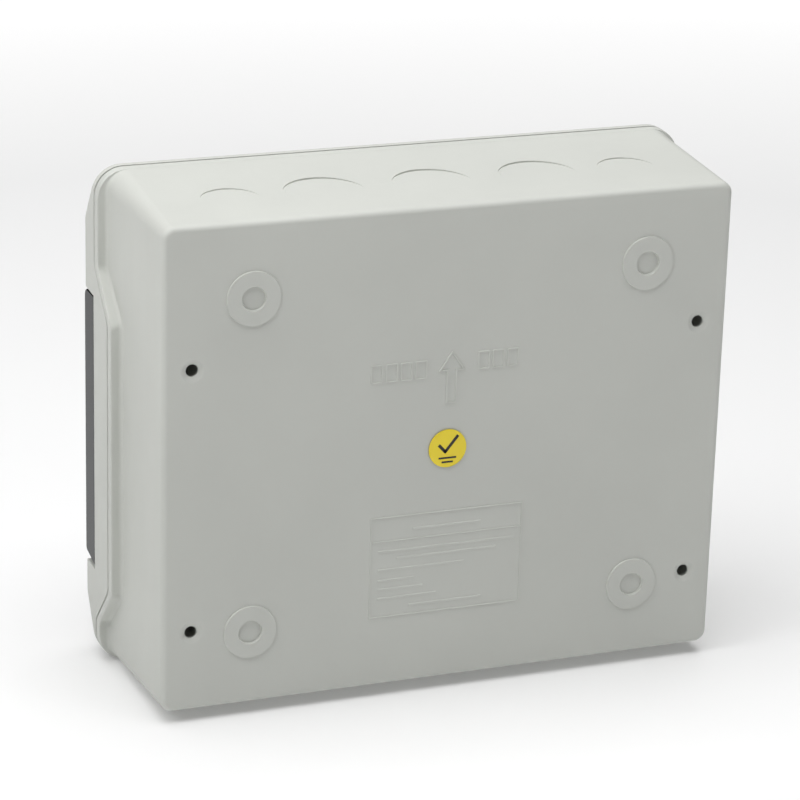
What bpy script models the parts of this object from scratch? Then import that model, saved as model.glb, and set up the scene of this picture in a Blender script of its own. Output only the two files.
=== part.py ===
"""DC combiner box: a 12-module plastic wall enclosure with string fuses, a surge arrester and a breaker.

Lengths are in millimetres until at() and MM turn them into metres. A place is (x, depth, z): x runs to the
right in the front view, depth runs forwards from the back face, and z runs up from the middle of the height.
The frame's origin is under the middle of the box, and its front faces -Y.
"""

import math

import bmesh
import bpy
from mathutils import Matrix, Vector

MM = 0.001

# Enclosure: outside form
BACK_HALF_WIDTH = 122.4
BACK_HALF_HEIGHT = 102.65
SIDE_DRAFT = 0.034  # half-width gained for each millimetre forwards
TOP_DRAFT = 0.0725  # half-height gained for each millimetre forwards
BACK_CORNER = 5.0
WALL_CORNER_GAIN = 4.0
BACK_EDGE = 2.5
WALL = 2.5
TOTAL_DEPTH = 90.0
FLANGE_HALF_WIDTH = 129.2
FLANGE_CORNER = 12.0
FLANGE_THICK = 4.2
CORNER_STEPS = 6

# Split between the housing and the cover: deep at the corners, shallow along the middle of both sides
SPLIT_DEPTH = 72.4
SPLIT_LOW = 53.8
SPLIT_GAP = 1.2
UPPER_RAMP_START = 68.4
LOWER_RAMP_START = -91.9
RAMP_LENGTH = 22.4
RAMP_BLEND = 0.17
RIM_LIP = 1.2
RIM_LEDGE = 1.6
GASKET_WIDTH = 2.2
GAP = 0.3

# Back face
PAD_X, PAD_Z = 85.0, 71.2
PAD_RADIUS, PAD_HEIGHT = 11.25, 0.8
PAD_RECESS_RADIUS, PAD_RECESS_DEPTH = 5.0, 1.2
FIXING_X = 109.9
FIXING_HEIGHTS = (43.3, -68.7)
FIXING_HOLE = 2.6
FIXING_TUBE, FIXING_BORE, FIXING_TUBE_DEPTH = 5.8, 4.4, 48.0
STICKER_RADIUS, STICKER_THICK = 8.25, 0.25

# Knock-outs in the top and bottom walls: (x, radius)
KNOCKOUT_DEPTH = 26.0
KNOCKOUTS = ((-86.0, 12.5), (-46.5, 17.0), (0.0, 17.0), (46.5, 17.0), (86.0, 12.5))

# Cover, its window recess and its screws
SCREW_X, SCREW_Z = 113.0, 79.5
SCREW_COLUMN, SCREW_POST = 6.5, 4.6
SCREW_SEAT = 79.0
COVER_EDGE = 76.6
RECESS_TOP, RECESS_BOTTOM = 53.3, -68.0
RECESS_HALF_WIDTH = 123.2
RECESS_FLOOR = 68.5
LEDGE_DEPTH = 74.4
RECESS_EDGE = 2.5
DEVICE_WINDOW_HALF_WIDTH = 108.5
DEVICE_WINDOW_HALF_HEIGHT = 23.3

# Door
DOOR_HALF_WIDTH = 128.7
DOOR_THICK = 2.2
DOOR_FRONT, DOOR_REAR = 89.4, 75.9
DOOR_TOP, DOOR_BOTTOM, DOOR_BOTTOM_FRONT = 52.4, -67.0, -64.2
HINGE_DEPTH, HINGE_Z = 85.4, 48.4
PIN_RADIUS, PIN_BORE = 1.0, 1.3
EAR_INNER, EAR_OUTER, EAR_RADIUS = 119.8, 125.9, 2.5

# Rail and the devices on it
MODULE = 17.8
RAIL_Z = (RECESS_TOP + RECESS_BOTTOM) / 2
RAIL_HALF_LENGTH = 114.0
RAIL_REAR, RAIL_FRONT = 9.5, 17.0
RAIL_SCREW_X = 95.0
ROW_START = -6 * MODULE
DEVICE_REAR = 11.5
DEVICE_SEAT = RAIL_FRONT + GAP
NOSE_FRONT = 72.0
SHOULDER = 61.0
NOSE_HALF_HEIGHT = 22.5
BREAKER_HALF_HEIGHT = 42.5
FUSE_HALF_HEIGHT = 40.0
FUSE_SHOULDER = 59.0
SPD_HALF_HEIGHT = 45.0
SPD_SHOULDER = 58.0
FUSE_WIRE_DEPTH, BREAKER_WIRE_DEPTH, SPD_WIRE_DEPTH = 30.0, 33.0, 27.0
CARRIER_PIVOT = (66.0, RAIL_Z - 19.0)
TOGGLE_PIVOT = (66.0, RAIL_Z)
TOGGLE_OFF_ANGLE = -40.0
CLIP_HALF_WIDTH = 5.0
WIRE_RADIUS = 2.2

# Earth bar
EARTH_Z, EARTH_DEPTH, EARTH_HALF = -84.0, 20.3, 4.0
EARTH_LEFT, EARTH_RIGHT = -98.0, -22.0
EARTH_HOLES = (-80.0, -67.5, -55.0, -42.5)
EARTH_WIRE_X = -30.0

MIDDLE_DEPTH = (TOTAL_DEPTH - PAD_HEIGHT) / 2
FLANGE_RISE = 0.05
FLANGE_HALF_HEIGHT = BACK_HALF_HEIGHT + TOP_DRAFT * SPLIT_DEPTH + FLANGE_RISE
FLANGE_STRAIGHT = FLANGE_HALF_HEIGHT - FLANGE_CORNER
FORWARD = Vector((0.0, -1.0, 0.0))
RIGHT = Vector((1.0, 0.0, 0.0))
UP = Vector((0.0, 0.0, 1.0))

# Colours as (red, green, blue), roughness, metallic
GREY_PLASTIC = (0.62, 0.63, 0.60), 0.45, 0.0
WHITE_PLASTIC = (0.80, 0.80, 0.78), 0.4, 0.0
DARK_PLASTIC = (0.05, 0.05, 0.055), 0.45, 0.0
RED_PLASTIC = (0.55, 0.05, 0.04), 0.4, 0.0
GREEN_PLASTIC = (0.05, 0.30, 0.12), 0.45, 0.0
SMOKED = (0.05, 0.05, 0.055), 0.08, 0.0
RUBBER = (0.06, 0.06, 0.06), 0.8, 0.0
ZINC = (0.62, 0.62, 0.60), 0.35, 1.0
COPPER = (0.75, 0.38, 0.22), 0.3, 1.0
BRASS = (0.72, 0.55, 0.25), 0.3, 1.0
CERAMIC = (0.85, 0.84, 0.80), 0.5, 0.0
YELLOW_FILM = (0.80, 0.62, 0.02), 0.35, 0.0
RED_CABLE = (0.50, 0.03, 0.03), 0.5, 0.0
BLACK_CABLE = (0.03, 0.03, 0.03), 0.5, 0.0
GREEN_CABLE = (0.15, 0.40, 0.08), 0.5, 0.0


def at(x, depth, z):
    """The point in metres for a place in the box."""
    return Vector((x, MIDDLE_DEPTH - depth, FLANGE_HALF_HEIGHT + z)) * MM


# ---------------------------------------------------------------- scene and object helpers


def start_scene():
    for obj in list(bpy.data.objects):
        bpy.data.objects.remove(obj, do_unlink=True)
    collections = []
    for name in ("dc_combiner_box", "cutters"):
        collection = bpy.data.collections.new(name)
        bpy.context.scene.collection.children.link(collection)
        collections.append(collection)
    return collections


PARTS, CUTTERS = start_scene()


def finish_part(obj, look):
    """Makes the object a node with a material of its own."""
    colour, roughness, metallic = look
    material = bpy.data.materials.new(obj.name)
    material.use_nodes = True
    shader = material.node_tree.nodes["Principled BSDF"]
    shader.inputs["Base Color"].default_value = (*colour, 1.0)
    shader.inputs["Roughness"].default_value = roughness
    shader.inputs["Metallic"].default_value = metallic
    obj.data.materials.append(material)
    PARTS.objects.link(obj)
    return obj


def finish_tool(obj):
    obj.hide_render = True
    obj.display_type = "WIRE"
    CUTTERS.objects.link(obj)
    return obj


def object_from(name, bm, smooth=False):
    bmesh.ops.recalc_face_normals(bm, faces=bm.faces)
    mesh = bpy.data.meshes.new(name)
    bm.to_mesh(mesh)
    bm.free()
    if smooth:
        mesh.shade_smooth()
        mesh.set_sharp_from_angle(angle=math.radians(32))
    return bpy.data.objects.new(name, mesh)


def block(bm, low, high):
    """Adds a cube between two corners, each (x, depth, z)."""
    a, b = at(*low), at(*high)
    size = [abs(b[i] - a[i]) for i in range(3)]
    matrix = Matrix.Translation((a + b) / 2) @ Matrix.Diagonal((*size, 1.0))
    bmesh.ops.create_cube(bm, size=1.0, matrix=matrix)


def rod(bm, start, end, radius, end_radius=None, sides=16):
    """Adds a closed cylinder or cone between two places on its axis."""
    a, b = at(*start), at(*end)
    turn = UP.rotation_difference(b - a).to_matrix().to_4x4()
    bmesh.ops.create_cone(
        bm,
        cap_ends=True,
        segments=sides,
        radius1=radius * MM,
        radius2=(radius if end_radius is None else end_radius) * MM,
        depth=(b - a).length,
        matrix=Matrix.Translation((a + b) / 2) @ turn,
    )


def rods_forward(name, places, radius, low, high, end_radius=None, sides=16):
    """A helper of equal rods that run forwards from low to high at each (x, z)."""
    bm = bmesh.new()
    for x, z in places:
        rod(bm, (x, low, z), (x, high, z), radius, end_radius, sides)
    return finish_tool(object_from(name, bm))


def blocks(name, corners):
    """A helper of separate cubes, each given by its low and high corner."""
    bm = bmesh.new()
    for low, high in corners:
        block(bm, low, high)
    return finish_tool(object_from(name, bm))


def combine(target, tool, operation):
    modifier = target.modifiers.new(tool.name, "BOOLEAN")
    modifier.operation = operation
    modifier.solver = "EXACT"
    modifier.object = tool


def cut(target, *tools):
    for tool in tools:
        combine(target, tool, "DIFFERENCE")


def join(target, *tools):
    for tool in tools:
        combine(target, tool, "UNION")


def set_origin(obj, point):
    """Moves the object's origin to the point and leaves its shape where it is."""
    obj.data.transform(Matrix.Translation(obj.location - point))
    obj.location = point


def outline_solid(name, points, x_low, x_high):
    """A closed outline of (depth, z) points, given a thickness along X."""
    curve = bpy.data.curves.new(name, "CURVE")
    curve.dimensions = "2D"
    curve.fill_mode = "BOTH"
    curve.extrude = (x_high - x_low) / 2 * MM
    spline = curve.splines.new("POLY")
    spline.points.add(len(points) - 1)
    for point, (depth, z) in zip(spline.points, points):
        point.co = (-depth * MM, z * MM, 0.0, 1.0)
    spline.use_cyclic_u = True
    flat = bpy.data.objects.new(name, curve)
    bpy.context.scene.collection.objects.link(flat)
    # The outline's own X, Y and Z become the world's Y, Z and X.
    turn = Matrix(((0, 0, 1, 0), (1, 0, 0, 0), (0, 1, 0, 0), (0, 0, 0, 1)))
    flat.matrix_world = Matrix.Translation(at((x_low + x_high) / 2, 0.0, 0.0)) @ turn
    bpy.context.view_layer.update()
    graph = bpy.context.evaluated_depsgraph_get()
    mesh = bpy.data.meshes.new_from_object(flat.evaluated_get(graph))
    mesh.transform(flat.matrix_world)
    bpy.data.objects.remove(flat)
    bpy.data.curves.remove(curve)
    bm = bmesh.new()
    bm.from_mesh(mesh)
    bpy.data.meshes.remove(mesh)
    bmesh.ops.remove_doubles(bm, verts=bm.verts, dist=1e-6)
    return object_from(name, bm)


def turned(name, base, direction, profile, look, sides=16):
    """A turned piece: (radius, along) points from its far end down to base, both ends on the axis."""
    mesh = bpy.data.meshes.new(name)
    points = [(radius * MM, 0.0, along * MM) for radius, along in profile]
    mesh.from_pydata(points, [(i, i + 1) for i in range(len(points) - 1)], [])
    obj = bpy.data.objects.new(name, mesh)
    obj.location = base
    obj.rotation_euler = UP.rotation_difference(direction).to_euler()
    screw = obj.modifiers.new("turn", "SCREW")
    screw.steps = screw.render_steps = sides
    screw.use_merge_vertices = True
    screw.merge_threshold = 1e-6
    screw.use_smooth_shade = True
    return finish_part(obj, look)


def loft(name, rings, closed_loop=False):
    """A skin over rings of equally many points: capped at both ends, or closed round on itself."""
    bm = bmesh.new()
    rows = [[bm.verts.new(point) for point in ring] for ring in rings]
    count = len(rows[0])
    pairs = list(zip(rows, rows[1:]))
    if closed_loop:
        pairs.append((rows[-1], rows[0]))
    for near, far in pairs:
        for i in range(count):
            j = (i + 1) % count
            bm.faces.new((near[i], near[j], far[j], far[i]))
    if not closed_loop:
        bm.faces.new(rows[0])
        bm.faces.new(rows[-1])
    bmesh.ops.triangulate(bm, faces=[face for face in bm.faces if len(face.verts) == 4])
    return object_from(name, bm, smooth=True)


# ---------------------------------------------------------------- enclosure form


def ramp(t):
    """Rises from 0 to 1 along a straight line whose two ends are rounded off."""
    t = min(max(t, 0.0), 1.0)
    blend = RAMP_BLEND
    if t < blend:
        return t * t / (2 * blend * (1 - blend))
    if t > 1 - blend:
        return 1 - (1 - t) ** 2 / (2 * blend * (1 - blend))
    return (t - blend / 2) / (1 - blend)


def split_depth(z):
    """Depth of the housing's rim at a height."""
    upper = ramp((z - UPPER_RAMP_START) / RAMP_LENGTH + 1)
    lower = ramp(1 - (z - LOWER_RAMP_START) / RAMP_LENGTH)
    return SPLIT_LOW + (SPLIT_DEPTH - SPLIT_LOW) * max(upper, lower)


def side_heights():
    """Heights at which the side walls need a point, bottom to top."""
    shares = (0.0, RAMP_BLEND / 2, RAMP_BLEND, 1 - RAMP_BLEND, 1 - RAMP_BLEND / 2, 1.0)
    lower = [LOWER_RAMP_START + RAMP_LENGTH * share for share in shares]
    upper = [UPPER_RAMP_START - RAMP_LENGTH * (1 - share) for share in shares]
    return lower + upper


def outline(half_x, half_z, radius):
    """(x, z) points round a rectangle with round corners, always equally many."""
    straight = half_z - radius
    scale = min(1.0, straight / FLANGE_STRAIGHT)
    heights = [z * scale for z in side_heights()]
    points = [(half_x, z) for z in heights]
    for quarter in range(4):
        side = 1 if quarter in (0, 3) else -1
        end = 1 if quarter < 2 else -1
        for step in range(CORNER_STEPS + 1):
            angle = math.pi / 2 * (quarter + step / CORNER_STEPS)
            x = side * (half_x - radius) + radius * math.cos(angle)
            points.append((x, end * straight + radius * math.sin(angle)))
        if quarter == 1:
            points += [(-half_x, z) for z in reversed(heights)]
    return points


def wall(inset=0.0):
    """The housing wall's section as a function of depth, moved inwards by inset."""

    def section(depth):
        radius = BACK_CORNER + WALL_CORNER_GAIN * depth / SPLIT_DEPTH - inset
        half_x = BACK_HALF_WIDTH + SIDE_DRAFT * depth - inset
        half_z = BACK_HALF_HEIGHT + TOP_DRAFT * depth - inset
        return half_x, half_z, max(radius, 0.8)

    return section


def flange(inset=0.0):
    """The flange's section: wider than the wall at both sides, and level with it at top and bottom."""

    def section(depth):
        half_z = BACK_HALF_HEIGHT + TOP_DRAFT * min(depth, SPLIT_DEPTH) + FLANGE_RISE
        return FLANGE_HALF_WIDTH - inset, half_z - inset, FLANGE_CORNER - inset

    return section


def fixed(half_x, half_z, radius):
    return lambda depth: (half_x, half_z, radius)


def ring(section, depth_at):
    """One ring of a shell. depth_at gives the depth for a height, or is a depth."""
    points = []
    for index, (_, height) in enumerate(outline(*flange()(SPLIT_DEPTH))):
        depth = depth_at(height) if callable(depth_at) else depth_at
        x, z = outline(*section(depth))[index]
        points.append(at(x, depth, z))
    return points


def from_split(offset):
    return lambda height: split_depth(height) + offset


def mirrored(x, heights):
    return [(side * x, z) for side in (-1, 1) for z in heights]


# ---------------------------------------------------------------- housing


def make_rear_housing():
    edge_mid = BACK_EDGE * (1 - math.sqrt(0.5))
    housing = loft(
        "rear_housing",
        [
            ring(wall(BACK_EDGE), 0.0),
            ring(wall(edge_mid), edge_mid),
            ring(wall(), BACK_EDGE),
            ring(wall(), from_split(-FLANGE_THICK)),
            ring(flange(), from_split(-FLANGE_THICK)),
            ring(flange(), from_split(0.0)),
            ring(flange(RIM_LIP), from_split(0.0)),
            ring(flange(RIM_LIP), from_split(-RIM_LEDGE)),
            ring(wall(WALL), from_split(-RIM_LEDGE)),
            ring(wall(WALL), WALL + 1.0),
            ring(wall(WALL + 1.0), WALL),
        ],
    )
    finish_part(housing, GREY_PLASTIC)
    pads = mirrored(PAD_X, (PAD_Z, -PAD_Z))
    fixings = mirrored(FIXING_X, FIXING_HEIGHTS)
    posts = mirrored(SCREW_X, (SCREW_Z, -SCREW_Z))
    rests = mirrored(RAIL_SCREW_X, (RAIL_Z,))
    inside = WALL - 1.0
    join(
        housing,
        rods_forward("add_wall_pads", pads, PAD_RADIUS, -PAD_HEIGHT, 1.0, sides=32),
        rods_forward("add_fixing_tubes", fixings, FIXING_TUBE, inside, FIXING_TUBE_DEPTH, sides=16),
        rods_forward("add_screw_posts", posts, SCREW_POST, inside, SPLIT_DEPTH - 0.4, sides=12),
        rods_forward("add_rail_rests", rests, 5.0, inside, RAIL_REAR - GAP, sides=12),
    )
    recess_end = PAD_RECESS_DEPTH - PAD_HEIGHT
    cut(
        housing,
        rods_forward("cut_pad_recess", pads, PAD_RECESS_RADIUS, -2.0, recess_end, sides=20),
        rods_forward("cut_fixing_dish", fixings, 5.3, -0.5, 1.2, 2.0, sides=16),
        rods_forward("cut_fixing_holes", fixings, FIXING_HOLE, -1.0, WALL + 1, sides=12),
        rods_forward("cut_fixing_bores", fixings, FIXING_BORE, WALL, FIXING_TUBE_DEPTH + 1, sides=16),
        rods_forward("cut_post_holes", posts, 2.3, 56.0, SPLIT_DEPTH + 1, sides=10),
        rods_forward("cut_rest_holes", rests, 2.2, 3.6, RAIL_REAR + 1, sides=10),
        knockout_cutter(),
    )
    return housing


def knockout_cutter():
    """Upright drums whose flat ends lie level, so that they bite only into the front half of each circle."""
    bm = bmesh.new()
    level = BACK_HALF_HEIGHT + TOP_DRAFT * KNOCKOUT_DEPTH
    for x, radius in KNOCKOUTS:
        for side in (-1, 1):
            start = (x, KNOCKOUT_DEPTH, side * level)
            rod(bm, start, (x, KNOCKOUT_DEPTH, side * (level + 8)), radius, sides=28)
    return finish_tool(object_from("cut_knockouts", bm))


def make_gasket():
    outer = RIM_LIP + GAP
    inner = outer + GASKET_WIDTH
    low, high = from_split(GAP - RIM_LEDGE), from_split(SPLIT_GAP - GAP)
    rings = [ring(flange(outer), low), ring(flange(outer), high)]
    rings += [ring(flange(inner), high), ring(flange(inner), low)]
    finish_part(loft("cover_gasket", rings, closed_loop=True), RUBBER)


def make_sticker():
    bm = bmesh.new()
    rod(bm, (1.0, -GAP, -0.5), (1.0, -GAP - STICKER_THICK, -0.5), STICKER_RADIUS, sides=32)
    finish_part(object_from("round_sticker", bm, smooth=True), YELLOW_FILM)


# ---------------------------------------------------------------- cover and door


def recess_cutter(name, floor, half_width):
    """The window recess behind the door, with its two front edges opened out."""
    front, edge = TOTAL_DEPTH, RECESS_EDGE + 0.5
    points = [
        (floor, RECESS_BOTTOM),
        (front - RECESS_EDGE, RECESS_BOTTOM),
        (front + 0.5, RECESS_BOTTOM - edge),
        (front + 3, RECESS_BOTTOM - edge),
        (front + 3, RECESS_TOP + edge),
        (front + 0.5, RECESS_TOP + edge),
        (front - RECESS_EDGE, RECESS_TOP),
        (floor, RECESS_TOP),
    ]
    return finish_tool(outline_solid(name, points, -half_width, half_width))


def make_front_cover():
    rim = from_split(SPLIT_GAP)
    cover = loft(
        "front_cover",
        [
            ring(fixed(124.6, 86.2, 5.0), TOTAL_DEPTH - WALL),
            ring(fixed(126.1, 89.0, 6.0), 86.3),
            ring(fixed(126.5, 105.1, 9.5), COVER_EDGE - 0.6),
            ring(flange(WALL), rim),
            ring(flange(), rim),
            ring(fixed(129.1, FLANGE_HALF_HEIGHT - 0.05, 12.0), COVER_EDGE),
            ring(fixed(129.0, FLANGE_HALF_HEIGHT - 1.0, 11.8), COVER_EDGE + 1.3),
            ring(fixed(128.55, 90.0, 8.0), 88.6),
            ring(fixed(127.7, 88.6, 7.0), 89.7),
            ring(fixed(125.8, 87.2, 6.0), TOTAL_DEPTH),
        ],
    )
    finish_part(cover, GREY_PLASTIC)
    pan = blocks(
        "add_recess_pan",
        [((-127.6, RECESS_FLOOR - WALL, RECESS_BOTTOM - WALL), (127.6, 88.6, RECESS_TOP + WALL))],
    )
    screws = mirrored(SCREW_X, (SCREW_Z, -SCREW_Z))
    column_rear = SPLIT_DEPTH + SPLIT_GAP
    columns = rods_forward("add_screw_columns", screws, SCREW_COLUMN, column_rear, 88.5)
    join(cover, pan, columns)
    window = blocks(
        "cut_device_window",
        [
            (
                (-DEVICE_WINDOW_HALF_WIDTH, RECESS_FLOOR - 6, RAIL_Z - DEVICE_WINDOW_HALF_HEIGHT),
                (DEVICE_WINDOW_HALF_WIDTH, RECESS_FLOOR + 2, RAIL_Z + DEVICE_WINDOW_HALF_HEIGHT),
            )
        ],
    )
    well_low = (-RECESS_HALF_WIDTH, RECESS_FLOOR, RECESS_BOTTOM + 0.1)
    well_high = (RECESS_HALF_WIDTH, LEDGE_DEPTH + 4, RECESS_TOP - 0.1)
    cut(
        cover,
        recess_cutter("cut_recess", LEDGE_DEPTH, FLANGE_HALF_WIDTH + 5),
        blocks("cut_recess_well", [(well_low, well_high)]),
        window,
        rods_forward("cut_screw_seats", screws, 5.2, SCREW_SEAT, TOTAL_DEPTH + 2),
        rods_forward("cut_screw_holes", screws, 2.4, column_rear - 1, SCREW_SEAT + 1, sides=12),
    )
    arms = []
    for side in (-1, 1):
        low, high = sorted((side * EAR_INNER, side * EAR_OUTER))
        arms.append(((low, RECESS_FLOOR - 1, HINGE_Z - 2.2), (high, HINGE_DEPTH, HINGE_Z + 2.2)))
    join(cover, blocks("add_hinge_arms", arms))
    join(cover, hinge_rods("add_hinge_eyes", EAR_RADIUS, EAR_INNER + 0.01, EAR_OUTER - 0.01, 16))
    cut(cover, hinge_rods("cut_hinge_eyes", PIN_BORE, EAR_INNER - 1, EAR_OUTER + 0.2, 12))


def hinge_rods(name, radius, inner, outer, sides):
    """A helper of two rods on the door's hinge axis, one at each side."""
    bm = bmesh.new()
    for side in (-1, 1):
        rod(bm, (side * inner, HINGE_DEPTH, HINGE_Z), (side * outer, HINGE_DEPTH, HINGE_Z), radius, sides=sides)
    return finish_tool(object_from(name, bm))


def make_door():
    """A smoked channel: a front panel with a lip along each side, cut on a slant at the bottom."""
    top_edge = 2.0
    points = [
        (DOOR_REAR, DOOR_BOTTOM),
        (DOOR_FRONT, DOOR_BOTTOM_FRONT),
        (DOOR_FRONT, DOOR_TOP - top_edge),
        (DOOR_FRONT - top_edge, DOOR_TOP),
        (DOOR_REAR, DOOR_TOP),
    ]
    door = outline_solid("window_door", points, -DOOR_HALF_WIDTH, DOOR_HALF_WIDTH)
    finish_part(door, SMOKED)
    inner = DOOR_HALF_WIDTH - DOOR_THICK
    hollow = ((-inner, DOOR_REAR - 2, DOOR_BOTTOM - 2), (inner, DOOR_FRONT - DOOR_THICK, DOOR_TOP + 2))
    pockets = []
    for side in (-1, 1):
        low, high = sorted((side * (EAR_INNER - 0.6), side * (inner - 0.05)))
        pockets.append(((low, DOOR_REAR, HINGE_Z - 3.2), (high, DOOR_FRONT - 1.2, DOOR_TOP + 2)))
    cut(
        door,
        blocks("cut_door_hollow", [hollow]),
        blocks("cut_ear_pockets", pockets),
        hinge_rods("cut_door_bores", PIN_BORE, inner - 1, DOOR_HALF_WIDTH - 0.7, 12),
    )
    set_origin(door, at(0.0, HINGE_DEPTH, HINGE_Z))
    length = DOOR_HALF_WIDTH - 1.0 - 118.2
    profile = [(0.0, length), (0.8, length), (PIN_RADIUS, length - 0.2)]
    profile += [(PIN_RADIUS, 0.2), (0.8, 0.0), (0.0, 0.0)]
    for name, side in (("hinge_pin_left", -1), ("hinge_pin_right", 1)):
        turned(name, at(side * 118.2, HINGE_DEPTH, HINGE_Z), side * RIGHT, profile, ZINC, sides=10)


def make_cover_screws():
    tip = 58.0
    seat = SCREW_SEAT + GAP - tip
    head = seat + 4.0
    profile = [(0.0, head), (3.6, head), (4.6, head - 1.0), (4.6, seat)]
    profile += [(1.9, seat), (1.9, 1.0), (1.0, 0.0), (0.0, 0.0)]
    slots = bmesh.new()
    for x, z in mirrored(SCREW_X, (SCREW_Z, -SCREW_Z)):
        block(slots, (x - 6, tip + head - 1.6, z - 0.7), (x + 6, tip + head + 1, z + 0.7))
    slot_tool = finish_tool(object_from("cut_screw_slots", slots))
    for x, side in ((-SCREW_X, "left"), (SCREW_X, "right")):
        for z, end in ((SCREW_Z, "top"), (-SCREW_Z, "bottom")):
            name = f"cover_screw_{end}_{side}"
            screw = turned(name, at(x, tip, z), FORWARD, profile, ZINC)
            cut(screw, slot_tool)


def make_blanking_strip():
    """Fills the unused modules of the device window, scored so that it can be snapped off by the module."""
    left = ROW_START + 9 * MODULE + GAP
    right = ROW_START + 12 * MODULE - GAP
    plug, face = DEVICE_WINDOW_HALF_HEIGHT - 0.7, DEVICE_WINDOW_HALF_HEIGHT + 1.3
    rear, step, front = 64.0, RECESS_FLOOR + GAP, RECESS_FLOOR + 2.1
    half = [(rear, plug), (step, plug), (step, face), (front, face)]
    points = [(d, RAIL_Z + z) for d, z in half] + [(d, RAIL_Z - z) for d, z in reversed(half)]
    strip = finish_part(outline_solid("blanking_strip", points, left, right), GREY_PLASTIC)
    scores = []
    for module in (10, 11):
        x = ROW_START + module * MODULE
        scores.append(((x - 0.4, front - 0.7, RAIL_Z - 30), (x + 0.4, front + 1, RAIL_Z + 30)))
    cut(strip, blocks("cut_strip_scores", scores))


# ---------------------------------------------------------------- rail and its devices


def make_rail():
    leg, foot = 13.5, 17.5
    half = [(RAIL_REAR, leg), (RAIL_FRONT - 1, leg), (RAIL_FRONT - 1, foot), (RAIL_FRONT, foot)]
    half += [(RAIL_FRONT, leg - 1), (RAIL_REAR + 1, leg - 1)]
    points = [(d, RAIL_Z + z) for d, z in half] + [(d, RAIL_Z - z) for d, z in reversed(half)]
    rail = outline_solid("din_rail", points, -RAIL_HALF_LENGTH, RAIL_HALF_LENGTH)
    finish_part(rail, ZINC)
    slots = []
    for step in range(6):
        x = (step - 2.5) * 28.0
        slots.append(((x - 7.5, RAIL_REAR - 1, RAIL_Z - 2.6), (x + 7.5, RAIL_REAR + 3, RAIL_Z + 2.6)))
    holes = mirrored(RAIL_SCREW_X, (RAIL_Z,))
    cut(
        rail,
        blocks("cut_rail_slots", slots),
        rods_forward("cut_rail_holes", holes, 2.3, RAIL_REAR - 1, RAIL_REAR + 3, sides=12),
    )
    tip = 4.2
    seat = RAIL_REAR + 1 + GAP - tip
    profile = [(0.0, seat + 2.4), (2.6, seat + 2.4), (3.5, seat + 1.2), (3.5, seat)]
    profile += [(1.9, seat), (1.9, 0.6), (1.3, 0.0), (0.0, 0.0)]
    slot = ((-RAIL_SCREW_X - 5, tip + seat + 1.2, RAIL_Z - 0.6), (RAIL_SCREW_X + 5, tip + seat + 4, RAIL_Z + 0.6))
    slot_tool = blocks("cut_rail_screw_slot", [slot])
    for name, x in (("rail_screw_left", -RAIL_SCREW_X), ("rail_screw_right", RAIL_SCREW_X)):
        cut(turned(name, at(x, tip, RAIL_Z), FORWARD, profile, ZINC, sides=12), slot_tool)


def device_outline(half_height, front):
    """(depth, z) outline of a device that hooks on the rail. front lists the points of its front, bottom to top."""
    hook_depth, hook_z, free_z = RAIL_FRONT - 1 - GAP, 14.3, 17.9
    points = [(DEVICE_REAR + 6, half_height), (DEVICE_REAR, half_height - 8), (DEVICE_REAR, hook_z)]
    points += [(hook_depth, hook_z), (hook_depth, free_z), (DEVICE_SEAT, free_z), (DEVICE_SEAT, -free_z)]
    points += [(DEVICE_REAR, -free_z), (DEVICE_REAR, 8 - half_height), (DEVICE_REAR + 6, -half_height)]
    return [(depth, RAIL_Z + z) for depth, z in points + front]


def module_x(first, count=1):
    """Left and right side, and middle, of a device of count modules."""
    left = ROW_START + first * MODULE
    return left + 0.2, left + count * MODULE - 0.2, left + count * MODULE / 2


def clip_slot(name, x, half_height):
    low = (x - CLIP_HALF_WIDTH - 0.4, 12.8, RAIL_Z - half_height - 2)
    high = (x + CLIP_HALF_WIDTH + 0.4, 16.1, RAIL_Z - 17.0)
    return blocks(name, [(low, high)])


def make_clip(name, x, half_height):
    """The foot that slides under the rail's lower flange, with a slot for a screwdriver."""
    bm = bmesh.new()
    foot = RAIL_Z - half_height - 5
    block(bm, (x - CLIP_HALF_WIDTH, 13.2, foot), (x + CLIP_HALF_WIDTH, 15.7, RAIL_Z - 14.3))
    clip = finish_part(object_from(name, bm), DARK_PLASTIC)
    cut(clip, blocks("cut_" + name, [((x - 2.5, 12.0, foot + 1.6), (x + 2.5, 17.0, foot + 3.4))]))
    set_origin(clip, at(x, 14.45, foot))


def terminal_cutters(name, centres, half_height, entry_depth, screw_z, screw_front):
    """Wire entries in both ends of a device, and its screw holes in front."""
    entries, screws = bmesh.new(), bmesh.new()
    for x in centres:
        for side in (-1, 1):
            end = RAIL_Z + side * half_height
            rod(entries, (x, entry_depth, end - side * 12), (x, entry_depth, end + side), 3.2, sides=12)
            z = RAIL_Z + side * screw_z
            rod(screws, (x, screw_front - 9, z), (x, screw_front + 1, z), 2.8, sides=12)
    return [
        finish_tool(object_from(f"cut_{name}_entries", entries)),
        finish_tool(object_from(f"cut_{name}_screws", screws)),
    ]


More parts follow.
